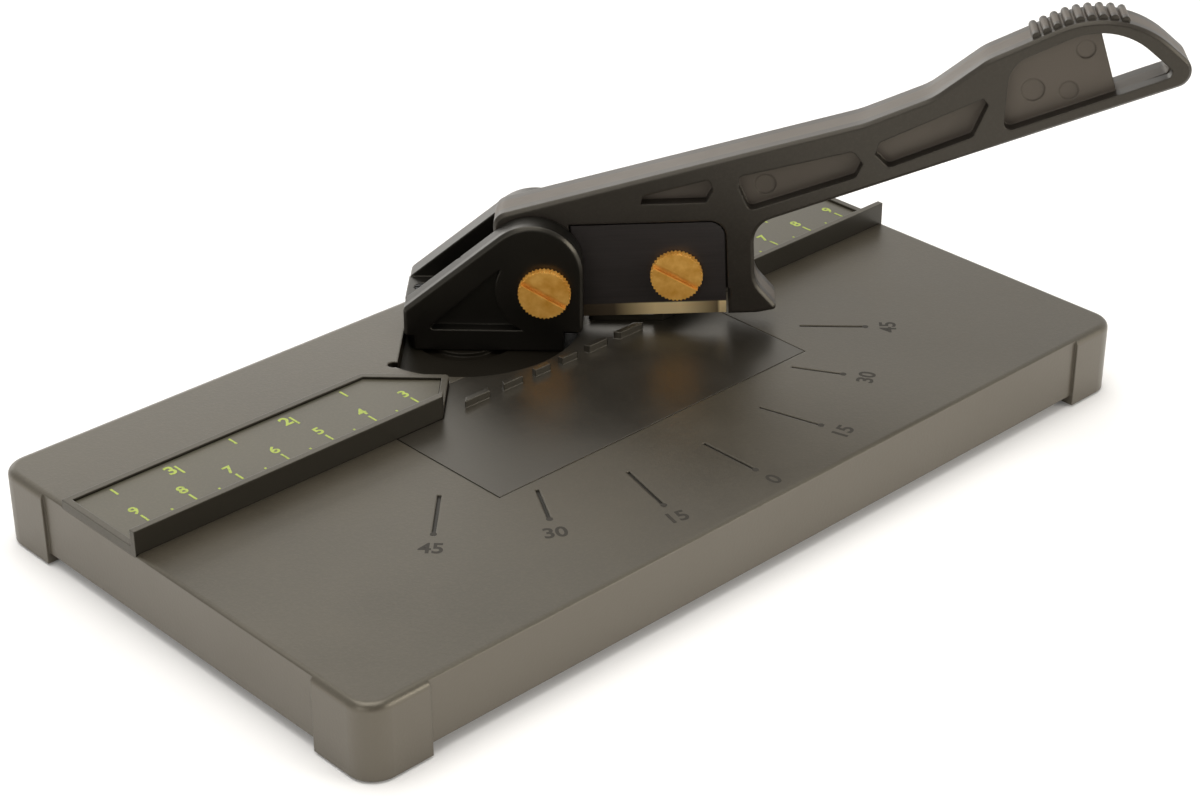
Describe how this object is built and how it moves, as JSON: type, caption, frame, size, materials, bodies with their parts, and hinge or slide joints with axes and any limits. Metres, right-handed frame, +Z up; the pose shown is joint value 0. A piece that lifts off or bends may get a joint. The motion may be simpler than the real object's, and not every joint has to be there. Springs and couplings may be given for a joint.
{
  "type": "mitre guillotine",
  "caption": "Bench cutter for thin strips: a lever with a blade in a swivelling turret, over a flat base with ruled fences and engraved mitre angles.",
  "frame": {"origin": "on the surface that the foot pads stand on, halfway from front to back and in line with the swivel axis, 1.1 mm right of the middle of the base", "axes": "+X to the right along the fences, +Y to the back, towards the turret, +Z up"},
  "size_m": [0.1976, 0.1136, 0.0805],
  "materials": {
    "base_plastic": "finely textured black moulding, a little glossy",
    "insert_plastic": "smooth black cutting plate, satin",
    "scale_print": "black plate with printed yellow-green scale",
    "turret_plastic": "black glass-filled moulding, satin",
    "lever_plastic": "black glass-filled moulding, satin",
    "blade_steel": "blackened steel, bright along the ground bevel",
    "brass": "turned brass",
    "zinc_steel": "zinc plated",
    "bright_steel": "polished",
    "bearing_nylon": "natural nylon",
    "foot_rubber": "matt black"
  },
  "bodies": {
    "root": {"base_shell": "base_plastic", "cutting_insert": "insert_plastic", "insert_screws": "zinc_steel", "foot_pads": "foot_rubber", "left_fence": "base_plastic", "right_fence": "base_plastic", "left_scale_plate": "scale_print", "right_scale_plate": "scale_print", "bearing_washer": "bearing_nylon"},
    "head": {"turret": "turret_plastic", "swivel_bolt": "zinc_steel", "swivel_washer": "zinc_steel", "swivel_spring_washer": "zinc_steel", "swivel_nut": "zinc_steel", "index_pin": "bright_steel", "index_spring": "bright_steel", "index_plug": "zinc_steel", "pivot_nut": "brass"},
    "lever": {"lever_arm": "lever_plastic", "blade": "blade_steel", "pivot_bush": "brass", "clamp_nut": "brass"},
    "pivot_thumb_screw": {"pivot_screw": "brass"},
    "clamp_thumb_screw": {"clamp_screw": "brass"}
  },
  "joints": [
    {"name": "head_swivel", "type": "hinge", "parent": "root", "child": "head", "pos_m": [0, 0.036, 0.015], "axis": [0, 0, 1], "range_deg": [-90, 0]},
    {"name": "lever_pivot", "type": "hinge", "parent": "head", "child": "lever", "pos_m": [0.01329, 0.02695, 0.0251], "axis": [-0.7071, -0.7071, 0], "range_deg": [-4.3, 60]},
    {"name": "pivot_screw_turn", "type": "hinge", "parent": "head", "child": "pivot_thumb_screw", "pos_m": [0.01117, 0.02483, 0.0251], "axis": [-0.7071, -0.7071, 0], "range_deg": [0, 90]},
    {"name": "clamp_screw_turn", "type": "hinge", "parent": "lever", "child": "clamp_thumb_screw", "pos_m": [0.0291, 0.0069, 0.02665], "axis": [-0.7071, -0.7071, 0], "range_deg": [0, 180]}
  ]
}
